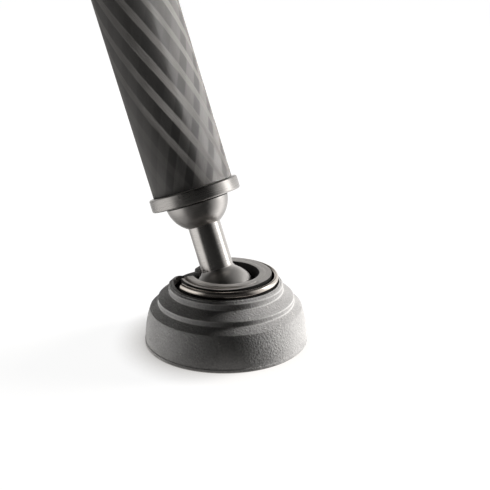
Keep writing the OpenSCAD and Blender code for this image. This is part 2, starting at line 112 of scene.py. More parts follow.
def finished(name, mesh, place):
    """The object of a bmesh, shaded smooth between its sharp edges."""
    bmesh.ops.recalc_face_normals(mesh, faces=mesh.faces)
    data = bpy.data.meshes.new(name)
    mesh.to_mesh(data)
    mesh.free()
    data.polygons.foreach_set("use_smooth", [True] * len(data.polygons))
    data.set_sharp_from_angle(angle=math.radians(32))
    piece = bpy.data.objects.new(name, data)
    bpy.context.scene.collection.objects.link(piece)
    piece.matrix_world = place
    return piece


def turned(name, profile, place=COLUMN, segments=144, start=0.0, sweep=360.0, warp=None):
    """A mesh turned from a closed profile in millimetres round Z; warp moves a point by its angle."""
    whole = sweep >= 360
    mesh = bmesh.new()
    rings = []
    for r, z in profile:
        if r < 1e-6:
            rings.append([mesh.verts.new((0, 0, z * MM))])
            continue
        ring = []
        for k in range(segments if whole else segments + 1):
            a = math.radians(start + sweep * k / segments)
            pr, pz = warp(r, z, a) if warp else (r, z)
            ring.append(mesh.verts.new((pr * math.cos(a) * MM, pr * math.sin(a) * MM, pz * MM)))
        rings.append(ring)
    for i, low in enumerate(rings):
        high = rings[(i + 1) % len(rings)]
        if len(low) == 1 and len(high) == 1:
            continue
        for k in range(segments):
            corners = [low[k % len(low)], low[(k + 1) % len(low)]]
            corners += [high[(k + 1) % len(high)], high[k % len(high)]]
            mesh.faces.new(list(dict.fromkeys(corners)))
    if not whole:
        ends = [mesh.faces.new([ring[k] for ring in rings]) for k in (0, -1)]
        bmesh.ops.triangulate(mesh, faces=ends)
    return finished(name, mesh, place)


def walls(mesh, loops):
    """Rows of vertices from closed loops of points in millimetres, with faces from each row to the next."""
    rows = [[mesh.verts.new(Vector(p) * MM) for p in loop] for loop in loops]
    for low, high in zip(rows, rows[1:]):
        for k in range(len(low)):
            n = (k + 1) % len(low)
            mesh.faces.new((low[k], low[n], high[n], high[k]))
    return rows


def skinned(name, loops, place):
    """A closed mesh through loops of points, with a flat face at each end."""
    mesh = bmesh.new()
    rows = walls(mesh, loops)
    ends = [mesh.faces.new(row) for row in (rows[0], rows[-1])]
    bmesh.ops.triangulate(mesh, faces=ends)
    return finished(name, mesh, place)


def stack(x, y, count, *rings):
    """Circles, or regular polygons, over one point, from pairs of a radius and a height."""
    angles = [2 * math.pi / count * k for k in range(count)]
    return [[(x + r * math.cos(a), y + r * math.sin(a), z) for a in angles] for r, z in rings]


def drilled(name, outside, holes, place=COLUMN):
    """A closed solid from stacked loops: the outside from bottom to top, and holes from top to bottom.
    A hole that ends above the bottom is blind."""
    mesh = bmesh.new()

    def fill(*loops):
        edges = []
        for loop in loops:
            for k in range(len(loop)):
                ends = (loop[k], loop[(k + 1) % len(loop)])
                edges.append(mesh.edges.get(ends) or mesh.edges.new(ends))
        bmesh.ops.triangle_fill(mesh, edges=edges, use_beauty=True)

    shell = walls(mesh, outside)
    bores = [walls(mesh, hole) for hole in holes]
    bottom = outside[0][0][2] + 1e-6
    fill(shell[-1], *[bore[0] for bore in bores])
    fill(shell[0], *[bore[-1] for bore, hole in zip(bores, holes) if hole[-1][0][2] <= bottom])
    for bore, hole in zip(bores, holes):
        if hole[-1][0][2] > bottom:
            mesh.faces.new(bore[-1])
    return finished(name, mesh, place)


# Materials


def new_look(name):
    """A new material, its node tree and its main shader."""
    look = bpy.data.materials.new(name)
    look.use_nodes = True
    return look, look.node_tree, look.node_tree.nodes["Principled BSDF"]


def put(tree, kind, inputs=None, **settings):
    """A new node, with its settings, and with its inputs set or linked."""
    made = tree.nodes.new(kind)
    for key, value in settings.items():
        setattr(made, key, value)
    for key, value in (inputs or {}).items():
        if isinstance(value, bpy.types.NodeSocket):
            tree.links.new(value, made.inputs[key])
        else:
            made.inputs[key].default_value = value
    return made


def calc(tree, operation, *values):
    return put(tree, "ShaderNodeMath", dict(enumerate(values)), operation=operation).outputs[0]


def span(tree, value, low, high, to_low=0.0, to_high=1.0):
    """A value's range drawn smoothly onto another."""
    inputs = {0: value, 1: low, 2: high, 3: to_low, 4: to_high}
    return put(tree, "ShaderNodeMapRange", inputs, interpolation_type="SMOOTHSTEP").outputs[0]


def mixed(tree, factor, first, second):
    """A colour between two colours."""
    inputs = {0: factor, 6: first, 7: second}
    return put(tree, "ShaderNodeMix", inputs, data_type="RGBA").outputs[2]


def blend(tree, factor, first, second):
    """A number between two numbers."""
    return put(tree, "ShaderNodeMix", {0: factor, 2: first, 3: second}, data_type="FLOAT").outputs[0]


def grey(value, warm=0.05):
    """A grey that leans towards red by its warm share."""
    return (value * (1 + warm), value, value * (1 - warm), 1)


def place_in(tree):
    return put(tree, "ShaderNodeTexCoord").outputs["Object"]


def from_axis(tree, x, y):
    """The distance from the Z axis."""
    return calc(tree, "SQRT", calc(tree, "MULTIPLY_ADD", x, x, calc(tree, "MULTIPLY", y, y)))


def noise(tree, where, scale, detail=3.0, rough=0.55):
    inputs = {"Vector": where, "Scale": scale, "Detail": detail, "Roughness": rough}
    return put(tree, "ShaderNodeTexNoise", inputs).outputs[0]


def relief(tree, shader, height, depth, strength=1.0):
    inputs = {"Height": height, "Distance": depth, "Strength": strength}
    tree.links.new(put(tree, "ShaderNodeBump", inputs).outputs[0], shader.inputs["Normal"])


def feed(tree, shader, **sockets):
    for key, value in sockets.items():
        tree.links.new(value, shader.inputs[key.replace("_", " ")])


def rubber_look(name, dark, light, grain, specks, edges=()):
    """Moulded rubber: fine grain, pale specks and, at the heights of its edges, a painted highlight: a lighter
    line.
    """
    look, tree, shader = new_look(name)
    where = place_in(tree)
    fine = noise(tree, where, 1 / grain, 4)
    cloud = noise(tree, where, 70, 2)
    tone = calc(tree, "MULTIPLY_ADD", cloud, 0.5, calc(tree, "MULTIPLY", fine, 0.5))
    colour = mixed(tree, span(tree, tone, 0.3, 0.7), grey(dark, 0.03), grey(light, 0.03))
    cells = put(tree, "ShaderNodeTexVoronoi", {"Vector": where, "Scale": 0.55 / grain})
    dot = span(tree, cells.outputs["Distance"], 0.12, 0.3, 1.0, 0.0)
    chance = put(tree, "ShaderNodeSeparateColor", {0: cells.outputs["Color"]}).outputs[0]
    speck = calc(tree, "MULTIPLY", dot, span(tree, chance, 0.78, 0.9))
    colour = mixed(tree, calc(tree, "MULTIPLY", speck, specks), colour, grey(0.5))
    height = put(tree, "ShaderNodeSeparateXYZ", {0: where}).outputs[2]
    # Painted highlight: a lighter line at each edge's height
    for edge in edges:
        away = calc(tree, "ABSOLUTE", calc(tree, "SUBTRACT", height, edge * MM))
        colour = mixed(tree, span(tree, away, 0.1 * MM, 0.28 * MM, 0.5, 0.0), colour, grey(light * 1.5, 0.03))
    feed(tree, shader, Base_Color=colour, Roughness=span(tree, fine, 0.3, 0.7, 0.58, 0.76))
    relief(tree, shader, calc(tree, "MULTIPLY_ADD", speck, 0.5, fine), grain * 0.4, 0.8)
    shader.inputs["Specular IOR Level"].default_value = 0.4
    return look


def metal_look(name, dark, light, roughness, line=0.00016, depth=0.000006, warm=0.05, scuffs=0.2,
               metal=1.0, ball=None, unshaded_radii=None, top=None):
    """Turned metal: rings of fine tool marks round Z and faint scuffs. A ball at the origin can have a matt
    finish;
    all but the zone between two radii, or all above a height, can be blackened as painted shade."""
    look, tree, shader = new_look(name)
    where = place_in(tree)
    x, y, z = put(tree, "ShaderNodeSeparateXYZ", {0: where}).outputs
    out = from_axis(tree, x, y)
    swirl = calc(tree, "MULTIPLY", calc(tree, "ARCTAN2", y, x), 0.0002)
    ring = put(tree, "ShaderNodeCombineXYZ", {0: out, 1: swirl, 2: z}).outputs[0]
    marks = noise(tree, ring, 1 / line, 3, 0.6)
    cloud = noise(tree, where, 160, 4)
    tone = calc(tree, "MULTIPLY_ADD", marks, 0.65, calc(tree, "MULTIPLY", cloud, 0.35))
    colour = mixed(tree, span(tree, tone, 0.32, 0.68), grey(dark, warm), grey(light, warm))
    scuff = span(tree, noise(tree, where, 420, 5, 0.7), 0.55, 0.75)
    wide = calc(tree, "MULTIPLY_ADD", scuff, scuffs, roughness - 0.04)
    if ball:
        dull = span(tree, z, NECK_S * MM, (NECK_S + 0.4) * MM, 1.0, 0.0)
        colour = mixed(tree, dull, colour, grey(ball, warm))
        wide = calc(tree, "MULTIPLY_ADD", dull, 0.14, wide)
        feed(tree, shader, Metallic=calc(tree, "MULTIPLY_ADD", dull, -0.3, 1.0))
    # Painted shade: blackened where shade falls, in a bore, round a flange or under a collar
    painted_shade = None
    if top:
        painted_shade = span(tree, z, (top - 0.15) * MM, top * MM)
    if unshaded_radii:
        low, high = unshaded_radii
        painted_shade = span(tree, out, (low - 0.3) * MM, low * MM, 1.0, 0.0)
        painted_shade = calc(tree, "MAXIMUM", painted_shade, span(tree, out, (high - 0.1) * MM, high * MM))
    if painted_shade is not None:
        colour = mixed(tree, painted_shade, colour, grey(0.04))
        wide = calc(tree, "MULTIPLY_ADD", painted_shade, 0.25, wide)
    feed(tree, shader, Base_Color=colour, Roughness=calc(tree, "MULTIPLY_ADD", marks, 0.08, wide))
    relief(tree, shader, marks, depth)
    shader.inputs["Metallic"].default_value = metal
    return look


# Two ways of winding: hand, bands round the lowest tube, lay, shift, width, and the turn where the bands are
# painted brightest, on the lit side
WINDINGS = ((1, 13, 25.5, -0.245, 0.36, 0.865), (-1, 12, 25.0, -0.035, 0.58, 0.275))


def carbon_look(name, radius):
    """Wound carbon: bright narrow bands one way over wide grey bands the other way, under lacquer.
    Each band shines across its own fibres, and the bands fade slowly round the tube away from the lit side, as
    painted light and shade."""
    look, tree, shader = new_look(name)
    where = place_in(tree)
    x, y, z = put(tree, "ShaderNodeSeparateXYZ", {0: where}).outputs
    angle = calc(tree, "ARCTAN2", y, x)
    along = calc(tree, "MULTIPLY", z, 220.0)
    size = radius / TUBE_R[4]
    masks, painted_fades, across = [], [], []
    for sign, count, lay, shift, width, lit_turn in WINDINGS:
        count = round(count * size)
        lay = math.radians(lay)
        climb = sign * count * math.tan(lay) / (2 * math.pi * radius * MM)
        round_way = calc(tree, "MULTIPLY_ADD", angle, count / (2 * math.pi), shift)
        turn = calc(tree, "MULTIPLY_ADD", z, climb, round_way)
        away = calc(tree, "MULTIPLY", calc(tree, "PINGPONG", turn, 0.5), 2.0)
        spot = put(tree, "ShaderNodeCombineXYZ", {0: turn, 1: along, 2: sign * 3.7}).outputs[0]
        wander = noise(tree, spot, 1.0, 1)
        strands = calc(tree, "MULTIPLY", turn, 26.0)
        streak = put(tree, "ShaderNodeCombineXYZ", {0: strands, 1: along}).outputs[0]
        thread = span(tree, noise(tree, streak, 1.0, 3, 0.6), 0.25, 0.75, 0.6, 1.15)
        band = calc(tree, "FLOORED_MODULO", calc(tree, "ROUND", turn), count)
        own = put(tree, "ShaderNodeTexWhiteNoise", {"W": band}, noise_dimensions="1D").outputs["Value"]
        edge = calc(tree, "MULTIPLY_ADD", wander, 0.1, calc(tree, "MULTIPLY_ADD", own, 0.12, width - 0.11))
        inside = span(tree, calc(tree, "SUBTRACT", edge, away), -0.08, 0.08)
        strength = calc(tree, "MULTIPLY", thread, span(tree, own, 0.0, 1.0, 0.75, 1.0))
        masks.append(calc(tree, "MULTIPLY", inside, strength))
        # Painted light and shade: each band is brightest on the lit side and fades round the tube
        from_lit_turn = calc(tree, "MULTIPLY_ADD", turn, 2 * math.pi / count, -2 * math.pi * lit_turn)
        painted_fades.append(span(tree, calc(tree, "COSINE", from_lit_turn), -0.6, 0.6, 0.15, 1.0))
        parts = {0: calc(tree, "MULTIPLY", y, -math.cos(lay) / (radius * MM)),
                 1: calc(tree, "MULTIPLY", x, math.cos(lay) / (radius * MM)), 2: sign * math.sin(lay)}
        across.append(put(tree, "ShaderNodeCombineXYZ", parts).outputs[0])
    bright = calc(tree, "MULTIPLY", masks[0], painted_fades[0])
    wide = blend(tree, painted_fades[1], 0.45, masks[1])
    colour = mixed(tree, wide, grey(0.065), grey(0.15))
    colour = mixed(tree, bright, colour, grey(0.25))
    ways = {0: bright, 4: across[1], 5: across[0]}
    tangent = put(tree, "ShaderNodeMix", ways, data_type="VECTOR").outputs[1]
    settings = {"vector_type": "VECTOR", "convert_from": "OBJECT", "convert_to": "WORLD"}
    tangent = put(tree, "ShaderNodeVectorTransform", {0: tangent}, **settings).outputs[0]
    feed(tree, shader, Base_Color=colour, Tangent=tangent, Metallic=blend(tree, bright, 0.4, 0.9))
    relief(tree, shader, calc(tree, "MULTIPLY_ADD", wide, 0.5, bright), 0.00002, 0.4)
    shader.inputs["Roughness"].default_value = 0.62
    shader.inputs["Anisotropic"].default_value = 0.9
    shader.inputs["Coat Weight"].default_value = 0.12
    shader.inputs["Coat Roughness"].default_value = 0.2
    return look


def plastic_look(name, dark, light, roughness, warm=0.03):
    """Moulded plastic with flow marks and a fine grain."""
    look, tree, shader = new_look(name)
    where = place_in(tree)
    fine = noise(tree, where, 2200, 2)
    flow = noise(tree, where, 130, 4)
    colour = mixed(tree, span(tree, flow, 0.3, 0.7), grey(dark, warm), grey(light, warm))
    gloss = span(tree, fine, 0.3, 0.7, roughness - 0.06, roughness + 0.08)
    feed(tree, shader, Base_Color=colour, Roughness=gloss)
    relief(tree, shader, fine, 0.00003, 0.4)
    return look


def foam_look(name):
    """Closed-cell foam: small open pores in a matte skin."""
    look, tree, shader = new_look(name)
    where = place_in(tree)
    cells = put(tree, "ShaderNodeTexVoronoi", {"Vector": where, "Scale": 1500.0}).outputs["Distance"]
    cloud = noise(tree, where, 90, 3)
    pore = span(tree, cells, 0.1, 0.55)
    tone = calc(tree, "MULTIPLY_ADD", pore, 0.6, calc(tree, "MULTIPLY", cloud, 0.4))
    colour = mixed(tree, tone, grey(0.012), grey(0.05))
    feed(tree, shader, Base_Color=colour, Roughness=span(tree, pore, 0.0, 1.0, 0.95, 0.78))
    relief(tree, shader, calc(tree, "MULTIPLY_ADD", cloud, 0.8, pore), 0.00022, 0.8)
    shader.inputs["Sheen Weight"].default_value = 0.15
    shader.inputs["Specular IOR Level"].default_value = 0.3
    return look


LOOKS = {
    # The foot's tier and rim edges get painted highlights
    "rubber": rubber_look("foot_rubber", 0.2, 0.34, 0.0006, 0.5, (12.45, 13.8, 16.05, 17.75)),
    "core": plastic_look("core_plastic", 0.025, 0.045, 0.5),
    # The split ring's bore, its outer wall and its flange are blackened as painted shade
    "ring_metal": metal_look("split_ring_metal", 0.62, 0.84, 0.42, metal=0.82, unshaded_radii=(10.3, 13.85)),
    "wire": metal_look("spring_wire", 0.66, 0.78, 0.18, warm=0.1, scuffs=0.08),
    "seat_plastic": plastic_look("pale_plastic", 0.6, 0.72, 0.42),
    "steel": metal_look("polished_steel", 0.56, 0.68, 0.2, scuffs=0.12, ball=0.4),
    "gunmetal": metal_look("satin_gunmetal", 0.42, 0.5, 0.28, depth=0.000003),
    "bush_plastic": plastic_look("bush_plastic", 0.018, 0.035, 0.4),
    "band_rubber": rubber_look("band_rubber", 0.022, 0.04, 0.0004, 0.2),
    "foam": foam_look("grip_foam"),
    "screw_steel": metal_look("plated_steel", 0.48, 0.62, 0.28, warm=0.015),
}
CARBON = {i: carbon_look(f"wound_carbon_{i}", TUBE_R[i]) for i in TUBE_R}


def dress(piece, node, look=None):
    """Gives a piece its material, and puts it in a node's place on the node's body."""
    piece.data.materials.append(look or LOOKS[SLOT[node]])
    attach(piece, BODY[node])
    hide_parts(node)
    return piece


# Foot

SOLE_R, SOLE_EDGE = 25, 0.95
GROOVE_STEP, GROOVE_HALF, GROOVE_DEEP = 4.6, 0.7, 0.8
SKIRT_R, SKIRT_Z, SKIRT_RISE, SKIRT_BULGE = 24.8, 1.15, 9.6, 1.6
TIER_R, TIER_LOW, TIER_TOP = 20.75, 12.4, 13.9
RIM_R, RIM_LOW, LEDGE_Z = 17.35, 16.0, 16.4
WELL_R, WELL_Z = 15.85, 1.8

sole = [(0, 0)]
for groove in range(1, 5):
    inner, outer = GROOVE_STEP * groove - GROOVE_HALF, GROOVE_STEP * groove + GROOVE_HALF
    sole += [(inner, 0, 0.15), (inner, GROOVE_DEEP, 0.2), (outer, GROOVE_DEEP, 0.2), (outer, 0, 0.15)]
edge = [(SOLE_R, 0, 0.4), (SOLE_R, SOLE_EDGE, 0.25), (SKIRT_R, SKIRT_Z, 0.1)]
skirt_bow = bow_radius(SKIRT_RISE, SKIRT_BULGE)
skirt_turn = math.degrees(math.asin(SKIRT_RISE / skirt_bow))
skirt = arc(SKIRT_R - skirt_bow, SKIRT_Z, skirt_bow, 0, skirt_turn, 16)
upper = [
    (SKIRT_R - SKIRT_BULGE, SKIRT_Z + SKIRT_RISE, 0.55), (TIER_R, TIER_LOW, 0.4), (TIER_R, TIER_TOP, 0.5),
    (RIM_R, RIM_LOW, 0.3), (RIM_R, LEDGE_Z), (WELL_R, LEDGE_Z), (WELL_R, WELL_Z), (0, WELL_Z),
]
dress(turned("foot_rubber", rounded(sole + edge + skirt[1:-1] + upper), FOOT, 216), "rubber_foot")


# The foot's rim: a lip over the split ring's flange, with a curl at each end beside the notch

CREASE_Z, FLANGE_Z, LIP_Z, CURL_Z = 17.8, 18.4, 18.65, 19.2
RIM_WALL, LIP_WIDE, NEAR_WIDE, FAR_WIDE = 0.55, 1.25, 1.75, 2.2
CURL_R, CURL_TURN, CURL_SWEEP, CURL_ROUND = 3.4, 28.3, 124.0, 0.5
CURL_STEPS, RIM_STEPS = 40, 240
GROW_SWEEP = 50
NEAR_END, FAR_END = LEAN + CURL_TURN, LEAN + 360 - CURL_TURN


def rim_row(centre_az, faces, wide, top, curl=False, end=1.0):
    """One section of the rim: it stands on the ledge and its lip hangs over the ring's flange. A section of a
    curl is filled down to the ledge, and rounded near its end."""
    reach = CURL_R if curl else RIM_R
    cx, cy = [(RIM_R - reach) * f(math.radians(centre_az)) for f in (math.cos, math.sin)]
    nx, ny = math.cos(math.radians(faces)), math.sin(math.radians(faces))
    short = max(0.0, CURL_ROUND - end)
    slim = CURL_ROUND - math.sqrt(max(0.0, CURL_ROUND ** 2 - short ** 2))
    low = LEDGE_Z + 0.01 if curl else FLANGE_Z
    back = RIM_WALL + slim / 4
    section = [
        (slim, LEDGE_Z), (slim, CREASE_Z - slim, 0.15), (wide - 0.2 - slim, top - slim, 0.2),
        (wide - slim, top - slim, 0.1), (wide - slim, low), (back, low), (back, LEDGE_Z),
    ]
    return [(cx + nx * (reach - d), cy + ny * (reach - d), z) for d, z in rounded(section)]


def curl_rows(end_az, way, wide):
    """The sections of one curl, from its tip to the rim."""
    length = math.radians(CURL_SWEEP) * CURL_R
    found = []
    for k in range(CURL_STEPS):
        share = (k / CURL_STEPS) ** 1.5
        faces = end_az + way * CURL_SWEEP * (1 - share)
        found.append(rim_row(end_az, faces, wide, CURL_Z, True, length * share))
    return found


def plain_row(az):
    """A section of the rim between its curls; it grows towards both."""
    shares = [max(0.0, 1 - away / GROW_SWEEP) for away in (az - NEAR_END, FAR_END - az)]
    near, far = [s * s * (3 - 2 * s) for s in shares]
    wide = LIP_WIDE + (NEAR_WIDE - LIP_WIDE) * near + (FAR_WIDE - LIP_WIDE) * far
    return rim_row(0, az, wide, LIP_Z + (CURL_Z - LIP_Z) * (near + far))


rows = curl_rows(NEAR_END, -1, NEAR_WIDE)
rows += [plain_row(NEAR_END + (FAR_END - NEAR_END) * k / RIM_STEPS) for k in range(RIM_STEPS + 1)]
rows += reversed(curl_rows(FAR_END, 1, FAR_WIDE))
dress(skinned("foot_rim_lip", rows, FOOT), "rubber_foot")


# Split ring and spring wire

BALL_Z, BEARING_R = 13.8, 9.85
RING_R, RING_WAIST_R, RING_IN_R, RING_TOP = 16.8, 13.9, 10.0, 21.4
RING_TURN, RING_SWEEP = 50.5, 259
LAYER_R, LAYER_Z, LAYER_TURN, LAYER_SWEEP, LAYER_RISE = 12.1, 20.1, 115, 60, 0.45
WIRE_PATH_R, WIRE_Z, WIRE_R, WIRE_OVAL = 15.17, 19.82, 1.03, 0.74
WIRE_TURN, WIRE_SWEEP = 66, 228

bearing = [(math.sqrt(BEARING_R ** 2 - (z - BALL_Z) ** 2), z) for z in (18.2, 17.6, 17.0, LEDGE_Z)]
ring = [
    (RING_R, LEDGE_Z, 0.2), (RING_R, FLANGE_Z, 0.2), (15.5, FLANGE_Z), (15.5, 18.75, 0.15),
    (RING_WAIST_R, 18.75), (RING_WAIST_R, 20.95, 0.2), (13.0, 20.95, 0.1), (12.95, 20.3), (12.2, 20.3),
    (12.15, RING_TOP, 0.2), (RING_IN_R, RING_TOP, 0.35),
]


def ring_layer(r, z, a):
    """The outer layer lies lower at the near end and rises to the ring's face towards the right."""
    share = max(0.0, min(1.0, (math.degrees(a) - LEAN - LAYER_TURN) / LAYER_SWEEP))
    lift = (RING_TOP - z) * share if r > LAYER_R and z > LAYER_Z else 0.0
    if r > RING_WAIST_R - 0.1:
        lift = min(lift, LAYER_RISE * share)
    return r, z + lift


profile = rounded(ring + bearing)
piece = turned("ball_split_ring", profile, FOOT, 180, LEAN + RING_TURN, RING_SWEEP, ring_layer)
dress(piece, "split_ring")

wire = arc(WIRE_PATH_R, WIRE_Z, WIRE_R, 0, 345, 23)
wire = [(WIRE_PATH_R + (r - WIRE_PATH_R) * WIRE_OVAL, z) for r, z in wire]
dress(turned("ring_spring_wire", wire, FOOT, 180, LEAN + WIRE_TURN, WIRE_SWEEP), "spring_ring")


# Ball, stem and leg end

BALL_R, NECK_R, STEM_R, STEM_TOP = 9.75, 5.5, 4.95, 25.5
STUD_R, STUD_TOP, STUD_HOLE_R, STUD_HOLE_TOP = 4.0, 43.4, 4.05, 44.4
DOME_R, DOME_S, DOME_MOUTH_R, DOME_LOW = 9.57, 30.9, 5.15, 22.95
COLLAR_R, COLLAR_MOUTH_R, COLLAR_LOW, COLLAR_TOP = 13.7, 12.25, 30.4, 34.45
SPIGOT_R, SPIGOT_TOP = 10.8, 51.9

neck_turn = math.degrees(math.asin(NECK_R / BALL_R))
ball = arc(0, 0, BALL_R, -90, 90 - neck_turn, 40)
ball[0] = (0, -BALL_R)
stem = [
    (STEM_R, NECK_S, 0.6), (STEM_R, STEM_TOP, 0.2), (STUD_R, STEM_TOP), (STUD_R, STUD_TOP, 0.5),
    (0, STUD_TOP),
]
dress(turned("steel_ball_stem", rounded(ball + stem), COLUMN, 160), "ball_stem")

mouth_turn = math.degrees(math.asin(DOME_MOUTH_R / DOME_R))
dome = arc(0, DOME_S, DOME_R, -90 + mouth_turn, -4, 30)
bore = [
    (9.3, COLLAR_LOW), (STUD_HOLE_R, COLLAR_LOW), (STUD_HOLE_R, STEM_TOP), (5.0, STEM_TOP), (5.0, DOME_LOW),
]
# The dome's top, under the collar, is blackened as painted shade
dome_painted_shade_look = metal_look("dome_gunmetal", 0.42, 0.5, 0.31, depth=0.000003, top=29.9)
dress(turned("leg_end_dome", dome + bore, COLUMN, 160), "stem_dome", dome_painted_shade_look)

tube_low = TUBE_S[4][0]
collar = [
    (STUD_HOLE_R, COLLAR_LOW), (COLLAR_R, COLLAR_LOW, 0.6), (COLLAR_R, COLLAR_TOP, 0.6),
    (COLLAR_MOUTH_R, COLLAR_TOP, 0.1), (COLLAR_MOUTH_R, tube_low), (SPIGOT_R, tube_low),
    (SPIGOT_R, SPIGOT_TOP, 0.5), (0, SPIGOT_TOP), (0, STUD_HOLE_TOP), (STUD_HOLE_R, STUD_HOLE_TOP),
]
dress(turned("leg_end_collar", rounded(collar), COLUMN, 180), "end_cap")


# Tubes

fibres = bpy.data.collections.new("fibres")
for i, (low, high) in TUBE_S.items():
    wide, narrow = TUBE_R[i], TUBE_R[i] - TUBE_WALL
    wall = [(narrow, low), (wide, low, 0.15), (wide, high, 0.15), (narrow, high)]
    piece = turned(f"carbon_tube_{i}", rounded(wall), COLUMN, 160)
    fibres.objects.link(dress(piece, f"tube_{i}", CARBON[i]))


# Twist locks

FLUTES, FLUTE_DEEP, FLUTE_REACH = 24, 0.5, 1.0
THREAD_ROOM, NUT_WALL, BAND_WALL, LOCK_RIM = 1.7, 1.7, 1.2, 4.15
SEAL_ROOM = 0.5


def flutes(outside):
    """Rounded flutes in a band's outer face."""
    def move(r, z, a):
        share = max(0.0, min(1.0, (r - outside + FLUTE_REACH) / FLUTE_REACH))
        wave = max(0.0, math.cos(FLUTES * a)) ** 3
        return r - FLUTE_DEEP * share * wave, z
    return move


for i, low in LOCK_S.items():
    top = low + LOCK_LEN
    bore_r = TUBE_R[i]
    rim_r = bore_r + LOCK_RIM
    sleeve = [
        (bore_r, low + 10), (bore_r + 0.8, low + 6.5), (bore_r + 1.6, low + 6.5), (bore_r + 1.6, top - 3.3),
        (rim_r, top - 3.3, 0.3), (rim_r, top - 1.95, 0.1), (rim_r - 0.3, top - 1.75, 0.1),
        (rim_r, top - 1.55, 0.1), (rim_r, top, 0.5), (bore_r, top, 0.2),
    ]
    dress(turned(f"lock_{i}_thread_sleeve", rounded(sleeve), COLUMN, 160), f"lock_{i}_sleeve")
    lip_r = TUBE_R[i + 1] + SEAL_ROOM
    nut_r = bore_r + THREAD_ROOM
    inside = nut_r + NUT_WALL
    nut = [
        (lip_r, low, 0.2), (inside, low, 0.5), (inside, low + 1.5, 0.1), (inside - 0.25, low + 1.7, 0.1),
        (inside, low + 1.9, 0.1), (inside, top - 3.4, 0.3), (nut_r, top - 3.4), (nut_r, low + 2.8),
        (lip_r, low + 2.8), (lip_r, low + 2.05), (lip_r + 1, low + 2.05), (lip_r + 1, low + 0.75),
        (lip_r, low + 0.75),
    ]
    dress(turned(f"lock_{i}_nut", rounded(nut), COLUMN, 160), f"lock_{i}_ring")
    outside = inside + BAND_WALL
    band = [(inside, low + 3.5), (outside, low + 3.5, 0.5), (outside, top - 5.9, 0.5), (inside, top - 5.9)]
    piece = turned(f"lock_{i}_grip_band", rounded(band), COLUMN, 288, warp=flutes(outside))
    dress(piece, f"lock_{i}_band")


# Hand grip

GRIP_LOW, GRIP_HIGH, GRIP_STEPS = 284.5, 467.5, 366
GRIP_MIDDLE, GRIP_HALF = (GRIP_LOW + GRIP_HIGH) / 2, (GRIP_HIGH - GRIP_LOW) / 2
GRIP_WALL, GRIP_SWELL, GRIP_EDGE = 2.6, 1.2, 1.4
FINGER_STEP, FINGER_DEEP, FINGER_REACH = 9, 0.75, 54
GRIP_RING_R, GRIP_RING_LOW = 20.95, 280.5

tube_r = TUBE_R[1]
grip_ring = [
    (tube_r, GRIP_RING_LOW), (GRIP_RING_R, GRIP_RING_LOW, 0.5), (GRIP_RING_R, GRIP_LOW, 0.3),
    (tube_r, GRIP_LOW),
]
dress(turned("grip_end_ring", rounded(grip_ring), COLUMN, 160), "grip_ring")

grip = [(tube_r + 0.01, GRIP_LOW)]
for k in range(GRIP_STEPS + 1):
    s = GRIP_LOW + 2 * GRIP_HALF * k / GRIP_STEPS
    middle = s - GRIP_MIDDLE
    swell = GRIP_WALL + GRIP_SWELL * (1 - (middle / GRIP_HALF) ** 2)
    groove = 0.0
    if abs(middle) < FINGER_REACH:
        wave = math.cos(2 * math.pi * (middle / FINGER_STEP - 0.5))
        groove = FINGER_DEEP * (0.5 + 0.5 * wave) ** 6
    inset = max(0.0, GRIP_EDGE - min(s - GRIP_LOW, GRIP_HIGH - s))
    corner = GRIP_EDGE - math.sqrt(max(0.0, GRIP_EDGE ** 2 - inset ** 2))
    grip.append((tube_r + max(swell - groove - corner, 0.3), s))
grip.append((tube_r + 0.01, GRIP_HIGH))
foam_grip = dress(turned("foam_hand_grip", grip, COLUMN, 144), "hand_grip")


# Head, plate and screws

HEAD_R, HEAD_FLOOR = 22, 477.5
WAIST_R, WAIST_S, WAIST_HALF, WAIST_DEEP = 20.4, 482.5, 8, 1.6
PLATE_R, PLATE_EDGE, PLATE_LOW, PLATE_TOP = 31, 0.8, 490.5, 494.5
PAD_R, PAD_HOLE_R, PAD_TOP = 29.5, 9.0, 495.9
SCREW_R, SCREW_HOLE_R, SCREW_LOW, SCREW_TOP = 4.7625, 4.81, 483.5, 505.0
THREAD_PITCH, THREAD_DEEP, THREAD_LEN, THREAD_STEPS = 1.5875, 0.85, 8.4, 84
DISC_R, DISC_TOP = 7.5, 495.7
SET_PATH_R, SET_HOLE_R, SET_R, SET_LOW, SET_TOP = 26.5, 1.55, 1.5, 488.0, 494.4
SOCKET_R, SOCKET_DEEP = 0.87, 1.4
SET_ANGLES = (0, 2 * math.pi / 3, 4 * math.pi / 3)
SET_PLACES = [(SET_PATH_R * math.cos(a), SET_PATH_R * math.sin(a)) for a in SET_ANGLES]

waist_bow = bow_radius(WAIST_HALF, WAIST_DEEP)
waist_turn = math.degrees(math.asin(WAIST_HALF / waist_bow))
waist = arc(WAIST_R + waist_bow, WAIST_S, waist_bow, 180 + waist_turn, 180 - waist_turn, 18)
head = [
    (tube_r, GRIP_HIGH), (HEAD_R, GRIP_HIGH, 0.5), *waist, (SCREW_HOLE_R, PLATE_LOW),
    (SCREW_HOLE_R, SCREW_LOW - 0.05), (0, SCREW_LOW - 0.05), (0, HEAD_FLOOR), (tube_r, HEAD_FLOOR),
]
dress(turned("head_cap", rounded(head), COLUMN, 160), "head")

rim = arc(PLATE_R - PLATE_EDGE, PLATE_LOW + PLATE_EDGE, PLATE_EDGE, -90, 0, 6)
rim += arc(PLATE_R - PLATE_EDGE, PLATE_TOP - PLATE_EDGE, PLATE_EDGE, 0, 90, 6)
holes = [stack(0, 0, 64, (5.1, PLATE_TOP), (SCREW_HOLE_R, PLATE_TOP - 0.3), (SCREW_HOLE_R, PLATE_LOW))]
holes += [stack(x, y, 32, (SET_HOLE_R, PLATE_TOP), (SET_HOLE_R, PLATE_LOW)) for x, y in SET_PLACES]
dress(drilled("round_top_plate", stack(0, 0, 160, *rim), holes), "top_plate")

